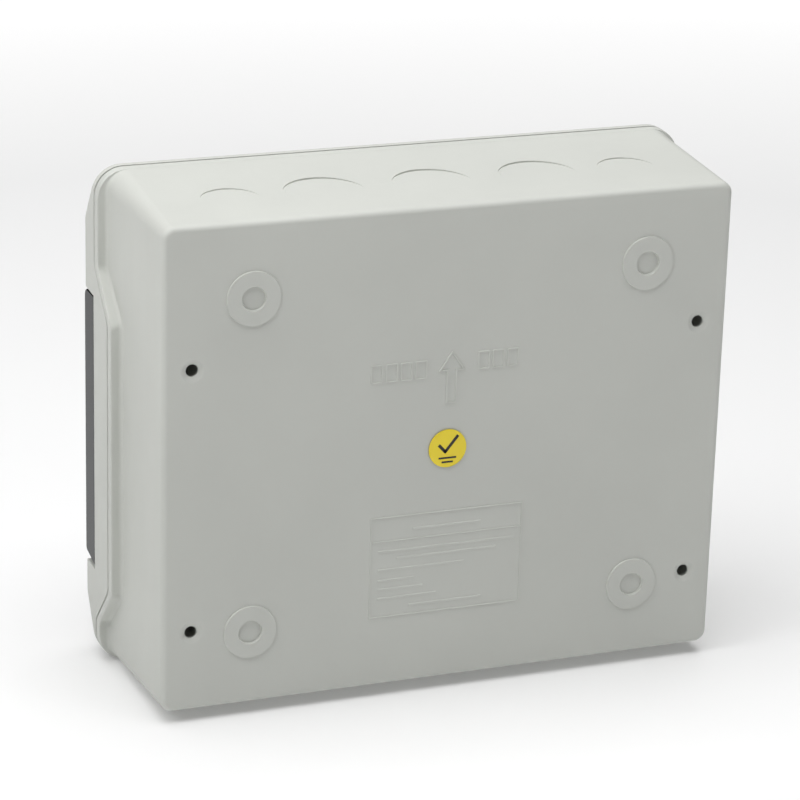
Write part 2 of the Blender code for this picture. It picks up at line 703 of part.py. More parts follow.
def make_fuse_way(number):
    left, right, x = module_x(number - 1)
    front = [(FUSE_SHOULDER - 12, -FUSE_HALF_HEIGHT), (FUSE_SHOULDER, 6 - FUSE_HALF_HEIGHT)]
    front += [(depth, -z) for depth, z in reversed(front)]
    base = outline_solid(f"fuse_base_{number}", device_outline(FUSE_HALF_HEIGHT, front), left, right)
    finish_part(base, WHITE_PLASTIC)
    channel = ((x - 6.2, 40.0, RAIL_Z - 24), (x + 6.2, 62.0, RAIL_Z + 27))
    comb = ((x - 2.2, 42.0, RAIL_Z + 30), (x + 2.2, 45.0, RAIL_Z + 42))
    name = f"fuse_{number}"
    cut(base, blocks(f"cut_{name}_channel", [channel]), blocks(f"cut_{name}_comb", [comb]))
    cut(base, *terminal_cutters(name, [x], FUSE_HALF_HEIGHT, FUSE_WIRE_DEPTH, 31.0, FUSE_SHOULDER))
    cut(base, clip_slot(f"cut_{name}_clip", x, FUSE_HALF_HEIGHT))
    make_clip(f"fuse_rail_clip_{number}", x, FUSE_HALF_HEIGHT)

    handle = [(60.5, -22), (70, -22), (NOSE_FRONT, -20), (NOSE_FRONT, 12), (69.6, 14.5), (69.6, 22), (60.5, 22)]
    handle = [(depth, RAIL_Z + z) for depth, z in handle]
    carrier = outline_solid(f"fuse_carrier_{number}", handle, x - 8.4, x + 8.4)
    finish_part(carrier, WHITE_PLASTIC)
    arms = []
    for low, high in ((-21.0, -19.4), (19.4, 21.0)):
        arms.append(((x - 5.6, 43.0, RAIL_Z + low), (x + 5.6, 62.0, RAIL_Z + high)))
    join(carrier, blocks(f"add_{name}_arms", arms))
    ribs = []
    for step in range(4):
        z = RAIL_Z + 15.6 + step * 1.7
        ribs.append(((x - 6, 69.0, z), (x + 6, 72.0, z + 0.8)))
    cut(carrier, blocks(f"cut_{name}_grip", ribs))
    set_origin(carrier, at(x, *CARRIER_PIVOT))

    link = [(0, 38), (5.0, 38), (5.0, 28.4), (4.7, 28.1), (4.7, 9.9), (5.0, 9.6), (5.0, 0), (0, 0)]
    turned(f"fuse_link_{number}", at(x, 50.0, RAIL_Z - 19.0), UP, link, CERAMIC, sides=14)


def make_spd():
    left, right, middle = module_x(4, 3)
    seat, edge = 32.0, NOSE_HALF_HEIGHT + 1.1
    front = [(SPD_SHOULDER - 10, -SPD_HALF_HEIGHT), (SPD_SHOULDER, 5 - SPD_HALF_HEIGHT)]
    front += [(SPD_SHOULDER, -edge), (seat, -edge)]
    front += [(depth, -z) for depth, z in reversed(front)]
    base = outline_solid("spd_base", device_outline(SPD_HALF_HEIGHT, front), left, right)
    finish_part(base, DARK_PLASTIC)
    poles = [module_x(4 + pole)[2] for pole in range(3)]
    slots = []
    for x in poles:
        for z in (-12.0, 12.0):
            slots.append(((x - 1.4, 21.0, RAIL_Z + z - 4.5), (x + 1.4, 34.0, RAIL_Z + z + 4.5)))
    cut(base, blocks("cut_spd_slots", slots), clip_slot("cut_spd_clip", middle, SPD_HALF_HEIGHT))
    cut(base, *terminal_cutters("spd", poles, SPD_HALF_HEIGHT, SPD_WIRE_DEPTH, 34.0, SPD_SHOULDER))
    make_clip("spd_rail_clip", middle, SPD_HALF_HEIGHT)
    top = NOSE_HALF_HEIGHT - 0.1
    half = [(seat + 0.5, top), (NOSE_FRONT - 1.5, top), (NOSE_FRONT, top - 1.5)]
    points = [(d, RAIL_Z - z) for d, z in half] + [(d, RAIL_Z + z) for d, z in reversed(half)]
    for number, x in enumerate(poles, 1):
        cartridge = outline_solid(f"spd_cartridge_{number}", points, x - 8.6, x + 8.6)
        finish_part(cartridge, RED_PLASTIC)
        blades = []
        for z in (-12.0, 12.0):
            blades.append(((x - 0.6, 22.5, RAIL_Z + z - 3.5), (x + 0.6, seat + 3, RAIL_Z + z + 3.5)))
        join(cartridge, blocks(f"add_spd_blades_{number}", blades))
        flag = ((x - 3.0, NOSE_FRONT - 1.0, RAIL_Z + 10), (x + 3.0, NOSE_FRONT + 1, RAIL_Z + 14))
        cut(cartridge, blocks(f"cut_spd_flag_{number}", [flag]))
        set_origin(cartridge, at(x, NOSE_FRONT, RAIL_Z))


def make_breaker():
    left, right, middle = module_x(7, 2)
    front = [(SHOULDER - 14, -BREAKER_HALF_HEIGHT), (SHOULDER, 5 - BREAKER_HALF_HEIGHT)]
    front += [(SHOULDER, -NOSE_HALF_HEIGHT), (NOSE_FRONT, -NOSE_HALF_HEIGHT)]
    front += [(depth, -z) for depth, z in reversed(front)]
    body = outline_solid("breaker_body", device_outline(BREAKER_HALF_HEIGHT, front), left, right)
    finish_part(body, WHITE_PLASTIC)
    poles = [module_x(7 + pole)[2] for pole in range(2)]
    well = ((middle - 14.5, 59.0, RAIL_Z - 9), (middle + 14.5, NOSE_FRONT + 1, RAIL_Z + 9))
    cut(body, blocks("cut_toggle_well", [well]), clip_slot("cut_breaker_clip", middle, BREAKER_HALF_HEIGHT))
    cut(body, *terminal_cutters("breaker", poles, BREAKER_HALF_HEIGHT, BREAKER_WIRE_DEPTH, 31.0, SHOULDER))
    make_clip("breaker_rail_clip", middle, BREAKER_HALF_HEIGHT)

    hub, reach, half_thick = 6.0, 15.0, 2.2
    pivot_depth, pivot_z = TOGGLE_PIVOT
    points = []
    for step in range(15):
        angle = math.radians(TOGGLE_OFF_ANGLE + 30 + step * 300 / 14)
        points.append((pivot_depth + hub * math.cos(angle), pivot_z + hub * math.sin(angle)))
    lean = math.radians(TOGGLE_OFF_ANGLE)
    for side in (-1, 1):
        along, across = reach, side * half_thick
        depth = pivot_depth + along * math.cos(lean) - across * math.sin(lean)
        points.append((depth, pivot_z + along * math.sin(lean) + across * math.cos(lean)))
    toggle = outline_solid("breaker_toggle", points, middle - 13.9, middle + 13.9)
    finish_part(toggle, DARK_PLASTIC)
    set_origin(toggle, at(middle, *TOGGLE_PIVOT))


# ---------------------------------------------------------------- conductors


def make_busbar(name, first):
    """A comb that joins the upper terminals of two neighbouring fuse ways."""
    xs = [module_x(first + way)[2] for way in range(2)]
    thin, thick = 42.7, 44.3
    bm = bmesh.new()
    block(bm, (xs[0] - 5, thin, RAIL_Z + 42), (xs[1] + 5, thick, RAIL_Z + 50))
    bar = finish_part(object_from(name, bm), COPPER)
    pins = [((x - 1.5, thin - 0.0, RAIL_Z + 31), (x + 1.5, thick, RAIL_Z + 44)) for x in xs]
    join(bar, blocks("add_pins_" + name, pins))


def smooth_route(points, steps=3):
    """Points on a smooth curve through the route's own points."""
    places = [Vector(point) for point in points]
    places = [2 * places[0] - places[1]] + places + [2 * places[-1] - places[-2]]
    route = []
    for a, b, c, d in zip(places, places[1:], places[2:], places[3:]):
        for step in range(steps):
            t = step / steps
            curve = 2 * b + (c - a) * t + (2 * a - 5 * b + 4 * c - d) * t**2 + (3 * b - a - 3 * c + d) * t**3
            route.append(curve / 2)
    return route + [places[-2]]


def make_wire(name, points, look):
    """A wire along (x, depth, z) points, whose z counts from the rail."""
    curve = bpy.data.curves.new(name, "CURVE")
    curve.dimensions = "3D"
    curve.bevel_depth = WIRE_RADIUS * MM
    curve.bevel_resolution = 2
    curve.use_fill_caps = True
    route = smooth_route(points)
    spline = curve.splines.new("POLY")
    spline.points.add(len(route) - 1)
    for point, (x, depth, z) in zip(spline.points, route):
        point.co = (*at(x, depth, RAIL_Z + z), 1.0)
    finish_part(bpy.data.objects.new(name, curve), look)


def make_wires():
    fuse = [module_x(way)[2] for way in range(4)]
    spd = [module_x(4 + pole)[2] for pole in range(3)]
    breaker = [module_x(7 + pole)[2] for pole in range(2)]
    f, s, b = FUSE_WIRE_DEPTH, SPD_WIRE_DEPTH, BREAKER_WIRE_DEPTH
    make_wire(
        "wire_fuses_to_breaker_positive",
        [(fuse[1], f, 30), (fuse[1], f, 46), (fuse[1] + 3, f, 57), (-58, f, 62.5), (-20, f, 63)]
        + [(12, f, 62), (breaker[0] - 2, 32, 54), (breaker[0], b, 44), (breaker[0], b, 33)],
        RED_CABLE,
    )
    make_wire(
        "wire_fuses_to_breaker_negative",
        [(fuse[2], f, 30), (fuse[2], f, 44), (fuse[2] + 1, 34, 53), (-48, 40, 61), (-10, 41, 64)]
        + [(28, 40, 62), (breaker[1] - 2, 36, 54), (breaker[1], b, 44), (breaker[1], b, 33)],
        BLACK_CABLE,
    )
    make_wire(
        "wire_fuses_to_spd_positive",
        [(fuse[0], f, 30), (fuse[0], f, 43), (fuse[0] + 5, 25, 52), (-76, 20.5, 56), (-48, 20.5, 57)]
        + [(spd[0] - 3, 23, 54), (spd[0], s, 46), (spd[0], s, 35)],
        RED_CABLE,
    )
    make_wire(
        "wire_fuses_to_spd_negative",
        [(fuse[3], f, 30), (fuse[3], f, 43), (fuse[3] + 6, 32, 50.5), (-20, 33, 53.5)]
        + [(spd[2] - 5, 30, 52), (spd[2], s, 46), (spd[2], s, 35)],
        BLACK_CABLE,
    )
    bar = EARTH_Z - RAIL_Z
    make_wire(
        "wire_spd_to_earth_bar",
        [(spd[1], s, -35), (spd[1], s, -47), (spd[1] - 2, 26, -55), (-19, 23, -62)]
        + [(-28, 20.8, -67), (EARTH_WIRE_X, EARTH_DEPTH, bar + 5), (EARTH_WIRE_X, EARTH_DEPTH, bar + 1)],
        GREEN_CABLE,
    )


def make_earth_bar():
    low = (EARTH_LEFT, EARTH_DEPTH - EARTH_HALF, EARTH_Z - EARTH_HALF)
    high = (EARTH_RIGHT, EARTH_DEPTH + EARTH_HALF, EARTH_Z + EARTH_HALF)
    bm = bmesh.new()
    block(bm, low, high)
    bar = finish_part(object_from("earth_bar", bm), BRASS)
    wires = bmesh.new()
    for x in (*EARTH_HOLES, EARTH_WIRE_X):
        rod(wires, (x, EARTH_DEPTH, EARTH_Z - 6), (x, EARTH_DEPTH, EARTH_Z + 6), 2.8, sides=12)
    places = [(x, EARTH_Z) for x in EARTH_HOLES]
    threads = rods_forward("cut_earth_threads", places, 2.2, EARTH_DEPTH, EARTH_DEPTH + 6, sides=10)
    cut(bar, finish_tool(object_from("cut_earth_wires", wires)), threads)
    for name, x in (("earth_bar_holder_left", EARTH_LEFT + 4), ("earth_bar_holder_right", EARTH_RIGHT - 14)):
        floor, rest = WALL + GAP, EARTH_DEPTH - EARTH_HALF - GAP
        z = EARTH_Z
        half = [(floor, 8.0), (floor + 3, 8.0), (floor + 3, 5.5), (rest, 5.5)]
        points = [(d, z + h) for d, h in half] + [(d, z - h) for d, h in reversed(half)]
        finish_part(outline_solid(name, points, x - 3.5, x + 3.5), GREEN_PLASTIC)
    tip, head = EARTH_DEPTH + 1.2, 7.5
    profile = [(0, head), (2.9, head), (3.1, head - 0.3), (3.1, 3.4), (1.9, 3.4), (1.9, 0), (0, 0)]
    slot = ((EARTH_HOLES[0] - 8, tip + head - 1.2, EARTH_Z - 0.5), (EARTH_HOLES[-1] + 8, tip + head + 2, EARTH_Z + 0.5))
    slot_tool = blocks("cut_earth_screw_slot", [slot])
    for number, x in enumerate(EARTH_HOLES, 1):
        screw = turned(f"earth_bar_screw_{number}", at(x, tip, EARTH_Z), FORWARD, profile, BRASS, sides=12)
        cut(screw, slot_tool)


make_rear_housing()
make_gasket()
make_sticker()
make_front_cover()
make_door()
make_cover_screws()
make_blanking_strip()
make_rail()
for way in range(1, 5):
    make_fuse_way(way)
make_spd()
make_breaker()
make_busbar("busbar_positive", 0)
make_busbar("busbar_negative", 2)
make_wires()
make_earth_bar()
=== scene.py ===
"""Looks for the DC combiner box: fine shells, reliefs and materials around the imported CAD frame.

Lengths are in millimetres until at() turns them into metres. A place is (x, depth, z): x runs to the
right in the front view, depth runs forwards from the back face, and z runs up from the middle of the
height.
"""

import math

import bmesh
import bpy
from mathutils import Matrix, Vector


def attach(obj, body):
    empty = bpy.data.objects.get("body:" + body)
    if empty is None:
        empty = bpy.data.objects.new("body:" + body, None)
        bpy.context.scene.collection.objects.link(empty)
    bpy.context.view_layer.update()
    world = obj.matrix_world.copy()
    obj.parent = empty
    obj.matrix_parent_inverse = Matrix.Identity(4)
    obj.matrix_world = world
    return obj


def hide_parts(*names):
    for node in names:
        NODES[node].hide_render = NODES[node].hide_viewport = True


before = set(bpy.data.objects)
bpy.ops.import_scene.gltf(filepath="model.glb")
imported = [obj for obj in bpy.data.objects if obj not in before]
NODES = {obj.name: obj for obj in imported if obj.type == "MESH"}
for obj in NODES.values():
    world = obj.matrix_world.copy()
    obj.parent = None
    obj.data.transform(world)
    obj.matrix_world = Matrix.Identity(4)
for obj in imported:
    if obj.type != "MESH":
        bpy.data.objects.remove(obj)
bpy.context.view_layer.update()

MM = 0.001
MIDDLE_DEPTH = 44.6
MIDDLE_HEIGHT = 107.949

# Enclosure form, as in the CAD
SIDE_DRAFT, TOP_DRAFT = 0.034, 0.0725
BACK_HALF_WIDTH, BACK_HALF_HEIGHT = 122.4, 102.65
BACK_EDGE = 2.3
WALL = 2.5
TOTAL_DEPTH = 90.0
FLANGE_HALF_WIDTH, FLANGE_CORNER, FLANGE_THICK, FLANGE_FILLET = 129.2, 12.0, 4.2, 1.9
SPLIT_DEPTH, SPLIT_LOW, SPLIT_GAP = 72.4, 53.8, 1.2
UPPER_RAMP, LOWER_RAMP, RAMP_LENGTH, RAMP_BLEND = 68.4, -91.9, 22.4, 0.17
CORNER_STEPS = 12
PAD_X, PAD_Z = 85.0, 71.2
FIXING_X, FIXING_HEIGHTS = 109.9, (43.3, -68.7)
KNOCKOUT_DEPTH = 26.0
KNOCKOUTS = ((-86.0, 12.5), (-46.5, 17.0), (0.0, 17.0), (46.5, 17.0), (86.0, 12.5))
WALL_LEAN, KNOCKOUT_TILT = 4.15, 2.6  # degrees
SCREW_X, SCREW_Z, SCREW_SEAT = 113.0, 79.5, 79.0
COVER_EDGE = 76.6
RECESS_TOP, RECESS_BOTTOM, RECESS_HALF_WIDTH = 53.3, -68.0, 123.2
RECESS_FLOOR, LEDGE_DEPTH = 68.5, 74.4
WINDOW_HALF_WIDTH, WINDOW_HALF_HEIGHT = 108.5, 23.3
RAIL_Z, RAIL_REST_X = -7.35, 95.0
MODULE, ROW_START = 17.8, -106.8
HINGE_DEPTH, HINGE_Z = 85.4, 48.4
HINGE_EYE, HINGE_BORE = 2.5, 1.3
HINGE_ARM_SPAN, HINGE_EYE_SPAN = (119.8, 125.9), (119.81, 125.89)
DOOR_HALF_WIDTH, DOOR_THICK, DOOR_FRONT, DOOR_REAR = 128.7, 2.2, 89.4, 75.9
DOOR_TOP, DOOR_BOTTOM, DOOR_BOTTOM_FRONT = 52.4, -67.0, -64.2
STICKER_X, STICKER_Z, STICKER_FACE = 1.0, -0.5, -0.56
FLAG_REAR, FLAG_FRONT, FLAG_LOW, FLAG_HIGH, FLAG_HALF_WIDTH = 70.6, 71.3, 10.2, 13.8, 2.8
SMOOTH_ANGLE = 35  # degrees
UP = Vector((0.0, 0.0, 1.0))
FORWARD = Vector((0.0, -1.0, 0.0))


def at(x, depth, z):
    return Vector((x, MIDDLE_DEPTH - depth, MIDDLE_HEIGHT + z)) * MM


# ---------------------------------------------------------------- mesh helpers


def new_object(name, bm, smooth_angle=SMOOTH_ANGLE):
    """Turns a bmesh into an object. A smooth_angle of 0 leaves its faces flat."""
    bmesh.ops.recalc_face_normals(bm, faces=bm.faces)
    mesh = bpy.data.meshes.new(name)
    bm.to_mesh(mesh)
    bm.free()
    if smooth_angle:
        mesh.shade_smooth()
        mesh.set_sharp_from_angle(angle=math.radians(smooth_angle))
    obj = bpy.data.objects.new(name, mesh)
    bpy.context.scene.collection.objects.link(obj)
    return obj


def block(bm, low, high):
    a, b = at(*low), at(*high)
    size = [abs(b[i] - a[i]) for i in range(3)]
    matrix = Matrix.Translation((a + b) / 2) @ Matrix.Diagonal((*size, 1.0))
    bmesh.ops.create_cube(bm, size=1.0, matrix=matrix)


def turned(bm, base, direction, profile, sides=48):
    """Adds a turned solid: (radius, along) points in millimetres, first and last on the axis."""
    frame_turn = UP.rotation_difference(direction).to_matrix()
    rows = []
    for radius, along in profile:
        if radius == 0:
            rows.append([bm.verts.new(base + frame_turn @ Vector((0, 0, along * MM)))])
            continue
        row = []
        for step in range(sides):
            angle = 2 * math.pi * step / sides
            place = Vector((radius * math.cos(angle), radius * math.sin(angle), along)) * MM
            row.append(bm.verts.new(base + frame_turn @ place))
        rows.append(row)
    for near, far in zip(rows, rows[1:]):
        for i in range(sides):
            j = (i + 1) % sides
            corners = [near[i % len(near)], near[j % len(near)], far[j % len(far)], far[i % len(far)]]
            bm.faces.new(list(dict.fromkeys(corners)))


def turned_tool(places, direction, profile, sides=48):
    bm = bmesh.new()
    for place in places:
        turned(bm, at(*place), direction, profile, sides)
    return new_object("tool", bm)


def drum(low, high, radius):
    """The profile of a plain cylinder, for turned()."""
    return [(0, low), (radius, low), (radius, high), (0, high)]


def outline_prism(bm, points, x_low, x_high):
    """Adds a closed outline of (depth, z) points, given a thickness along X."""
    left = [bm.verts.new(at(x_low, depth, z)) for depth, z in points]
    right = [bm.verts.new(at(x_high, depth, z)) for depth, z in points]
    bm.faces.new(left)
    bm.faces.new(right[::-1])
    for i in range(len(points)):
        j = (i + 1) % len(points)
        bm.faces.new((left[j], left[i], right[i], right[j]))


def carve(obj, steps):
    """Applies (operation, tool) pairs to the object for good, then removes the tools."""
    for operation, tool in steps:
        modifier = obj.modifiers.new("carve", "BOOLEAN")
        modifier.operation = operation
        modifier.solver = "EXACT"
        modifier.object = tool
    graph = bpy.context.evaluated_depsgraph_get()
    mesh = bpy.data.meshes.new_from_object(obj.evaluated_get(graph))
    obj.modifiers.clear()
    obj.data = mesh
    for _, tool in steps:
        bpy.data.objects.remove(tool)
    mesh.shade_smooth()
    mesh.set_sharp_from_angle(angle=math.radians(SMOOTH_ANGLE))
    weight_normals(obj)


def weight_normals(obj):
    modifier = obj.modifiers.new("weighted_normal", "WEIGHTED_NORMAL")
    modifier.mode = "FACE_AREA"
    modifier.weight = 50
    modifier.keep_sharp = True


def rounded(points, radius, steps=5):
    """Rounds every corner of a closed outline of 2-D points. radius is one number or one per corner."""
    out = []
    count = len(points)
    for i in range(count):
        before, here, after = (Vector(points[(i + k) % count]) for k in (-1, 0, 1))
        r = radius[i] if isinstance(radius, (list, tuple)) else radius
        if r <= 0:
            out.append(tuple(here))
            continue
        a, b = (before - here).normalized(), (after - here).normalized()
        half = a.angle(b) / 2
        reach = min(r / math.tan(half), 0.45 * (before - here).length, 0.45 * (after - here).length)
        r = reach * math.tan(half)
        centre = here + (a + b).normalized() * (r / math.sin(half))
        start, end = here + a * reach - centre, here + b * reach - centre
        turn = start.angle_signed(end)
        for k in range(steps + 1):
            angle = -turn * k / steps
            cos, sin = math.cos(angle), math.sin(angle)
            spot = centre + Vector((start.x * cos - start.y * sin, start.x * sin + start.y * cos))
            out.append(tuple(spot))
    return out


# ---------------------------------------------------------------- enclosure sections


def ramp(t):
    """Runs from 0 to 1 in a straight line with a soft start and end."""
    t = min(max(t, 0.0), 1.0)
    blend = RAMP_BLEND
    if t < blend:
        return t * t / (2 * blend * (1 - blend))
    if t > 1 - blend:
        return 1 - (1 - t) ** 2 / (2 * blend * (1 - blend))
    return (t - blend / 2) / (1 - blend)


def split_depth(z):
    """The depth of the parting line between housing and cover at one height."""
    upper = ramp((z - UPPER_RAMP) / RAMP_LENGTH + 1)
    lower = ramp(1 - (z - LOWER_RAMP) / RAMP_LENGTH)
    return SPLIT_LOW + (SPLIT_DEPTH - SPLIT_LOW) * max(upper, lower)


RAMP_SHARES = [RAMP_BLEND * k / 6 for k in range(7)]
RAMP_SHARES += [1 - share for share in reversed(RAMP_SHARES)]
HEIGHTS = [LOWER_RAMP + RAMP_LENGTH * share for share in RAMP_SHARES]
HEIGHTS += [-40.0, -10.0, 20.0]
HEIGHTS += [UPPER_RAMP - RAMP_LENGTH * (1 - share) for share in RAMP_SHARES]
FLANGE_HALF_HEIGHT = BACK_HALF_HEIGHT + TOP_DRAFT * SPLIT_DEPTH + 0.05
FLANGE_STRAIGHT = FLANGE_HALF_HEIGHT - FLANGE_CORNER


def outline(half_x, half_z, radius):
    """(x, z) points round a rectangle with round corners, always equally many."""
    straight = half_z - radius
    scale = min(1.0, straight / FLANGE_STRAIGHT)
    heights = [z * scale for z in HEIGHTS]
    points = [(half_x, z) for z in heights]
    for quarter in range(4):
        side = 1 if quarter in (0, 3) else -1
        end = 1 if quarter < 2 else -1
        for step in range(CORNER_STEPS + 1):
            angle = math.pi / 2 * (quarter + step / CORNER_STEPS)
            x = side * (half_x - radius) + radius * math.cos(angle)
            points.append((x, end * straight + radius * math.sin(angle)))
        if quarter == 1:
            points += [(-half_x, z) for z in reversed(heights)]
    return points


def wall(inset=0.0):
    def section(depth):
        radius = 5.0 + 4.0 * depth / SPLIT_DEPTH - inset
        half_x = BACK_HALF_WIDTH + SIDE_DRAFT * depth - inset
        return half_x, BACK_HALF_HEIGHT + TOP_DRAFT * depth - inset, max(radius, 0.8)

    return section


def flange(inset=0.0):
    def section(depth):
        half_z = BACK_HALF_HEIGHT + TOP_DRAFT * min(depth, SPLIT_DEPTH) + 0.05
        return FLANGE_HALF_WIDTH - inset, half_z - inset, FLANGE_CORNER - inset

    return section


def fixed(half_x, half_z, radius):
    return lambda depth: (half_x, half_z, radius)


def between(near, far, share):
    """A section part of the way from one section to another."""

    def section(depth):
        return tuple(a + (b - a) * share for a, b in zip(near(depth), far(depth)))

    return section


def from_split(offset):
    return lambda height: split_depth(height) + offset


def ring(section, depth_at):
    """One closed row of points on a section, at one depth or at a depth for each height."""
    points = []
    for index, (_, height) in enumerate(outline(*flange()(SPLIT_DEPTH))):
        depth = depth_at(height) if callable(depth_at) else depth_at
        x, z = outline(*section(depth))[index]
        points.append(at(x, depth, z))
    return points


def loft(name, rings, closed_loop=False):
    bm = bmesh.new()
    rows = [[bm.verts.new(point) for point in row] for row in rings]
    count = len(rows[0])
    pairs = list(zip(rows, rows[1:]))
    if closed_loop:
        pairs.append((rows[-1], rows[0]))
    for near, far in pairs:
        for i in range(count):
            j = (i + 1) % count
            bm.faces.new((near[i], near[j], far[j], far[i]))
    if not closed_loop:
        bm.faces.new(rows[0])
        bm.faces.new(rows[-1])
    return new_object(name, bm)


def quarter_arc(radius, steps):
    """(inset, rise) pairs of a rounded edge, from the face round to the wall."""
    pairs = []
    for step in range(steps + 1):
        angle = math.pi / 2 * step / steps
        pairs.append((radius * (1 - math.sin(angle)), radius * (1 - math.cos(angle))))
    return pairs


def mirrored(x, heights):
    return [(side * x, 0.0, z) for side in (-1, 1) for z in heights]


# ---------------------------------------------------------------- shells


def make_housing():
    rings = [ring(wall(inset), rise) for inset, rise in quarter_arc(BACK_EDGE, 6)]
    step = -FLANGE_THICK
    side_step = FLANGE_HALF_WIDTH - BACK_HALF_WIDTH - SIDE_DRAFT * 60
    for k in range(6):
        angle = math.pi / 2 * k / 5
        share = FLANGE_FILLET / side_step * (1 - math.cos(angle))
        depth = from_split(step - FLANGE_FILLET * (1 - math.sin(angle)))
        rings.append(ring(between(wall(), flange(), share), depth))
    for inset, rise in quarter_arc(0.7, 3):
        rings.append(ring(between(wall(), flange(), 1 - inset / side_step), from_split(step + rise)))
    for inset, rise in reversed(quarter_arc(0.3, 2)):
        rings.append(ring(flange(inset), from_split(-rise)))
    rings += [
        ring(flange(1.2), from_split(0.0)),
        ring(flange(1.2), from_split(-1.6)),
        ring(wall(WALL), from_split(-1.6)),
        ring(wall(WALL), WALL + 1.5),
        ring(wall(WALL + 0.45), WALL + 0.45),
        ring(wall(WALL + 1.5), WALL),
    ]
    housing = loft("housing_shell", rings)
    pads = mirrored(PAD_X, (PAD_Z, -PAD_Z))
    holes = mirrored(FIXING_X, FIXING_HEIGHTS)
    posts = mirrored(SCREW_X, (SCREW_Z, -SCREW_Z))
    rests = mirrored(RAIL_REST_X, (RAIL_Z,))
    pad = [(0, -1.0), (11.4, -1.0), (11.4, 0.05), (11.3, 0.55), (11.2, 0.72), (11.0, 0.8), (0, 0.8)]
    backward = -FORWARD
    recess = [(0, -0.45), (4.75, -0.45), (4.95, -0.3), (5.05, 0.55), (5.25, 0.82), (5.3, 2), (0, 2)]
    dish = [(0, -1.25), (2.6, -1.25), (3.2, -1.0), (4.3, -0.35), (5.2, 0.05), (5.3, 1), (0, 1)]
    steps = [
        ("UNION", turned_tool(pads, backward, pad, 64)),
        ("UNION", turned_tool(holes, FORWARD, drum(1.5, 48.0, 5.8), 32)),
        ("UNION", turned_tool(posts, FORWARD, drum(1.5, 72.0, 4.6), 32)),
        ("UNION", turned_tool(rests, FORWARD, drum(1.5, 9.2, 5.0), 32)),
        ("DIFFERENCE", turned_tool(pads, backward, recess, 40)),
        ("DIFFERENCE", turned_tool(holes, backward, dish, 32)),
        ("DIFFERENCE", turned_tool(holes, FORWARD, drum(-1.0, 3.5, 2.6), 28)),
        ("DIFFERENCE", turned_tool(holes, FORWARD, drum(2.5, 49.0, 4.4), 32)),
        ("DIFFERENCE", turned_tool(posts, FORWARD, drum(56.0, 74.0, 2.3), 20)),
        ("DIFFERENCE", turned_tool(rests, FORWARD, drum(3.6, 11.0, 2.2), 20)),
    ]
    for side in (-1, 1):
        steps.append(("DIFFERENCE", knockout_pockets(side)))
    carve(housing, steps)
    return housing


def knockout_pockets(side):
    """Shallow pockets whose floors lean less than the wall does, so each fades out over half a circle."""
    bm = bmesh.new()
    lean = math.radians(WALL_LEAN - KNOCKOUT_TILT)
    direction = Vector((0, math.sin(lean), side * math.cos(lean)))
    for x, radius in KNOCKOUTS:
        level = side * (BACK_HALF_HEIGHT + TOP_DRAFT * KNOCKOUT_DEPTH)
        profile = [(0, 0.3), (radius - 1.2, 0.3), (radius - 0.9, 0.35), (radius - 0.75, 0.05)]
        profile += [(radius + 0.05, 0.05), (radius + 0.2, 4.0), (0, 4.0)]
        turned(bm, at(x, KNOCKOUT_DEPTH, level), direction, profile, 72)
    return new_object("tool", bm)


def recess_tool():
    """The door recess down to its ledge, flaring out to the front face over its last few millimetres."""
    edge, over = 2.5, 0.6
    flare_depth = TOTAL_DEPTH + over
    low, high = RECESS_BOTTOM - edge - over, RECESS_TOP + edge + over
    corners = [
        (LEDGE_DEPTH, RECESS_BOTTOM),
        (TOTAL_DEPTH - edge, RECESS_BOTTOM),
        (flare_depth, low),
        (TOTAL_DEPTH + 4, low),
        (TOTAL_DEPTH + 4, high),
        (flare_depth, high),
        (TOTAL_DEPTH - edge, RECESS_TOP),
        (LEDGE_DEPTH, RECESS_TOP),
    ]
    half_width = FLANGE_HALF_WIDTH + 5
    bm = bmesh.new()
    outline_prism(bm, rounded(corners, [0, 1.6, 0, 0, 0, 0, 1.6, 0]), -half_width, half_width)
    return new_object("tool", bm)


def tool_block(*corners):
    bm = bmesh.new()
    for low, high in corners:
        block(bm, low, high)
    return new_object("tool", bm, 0)


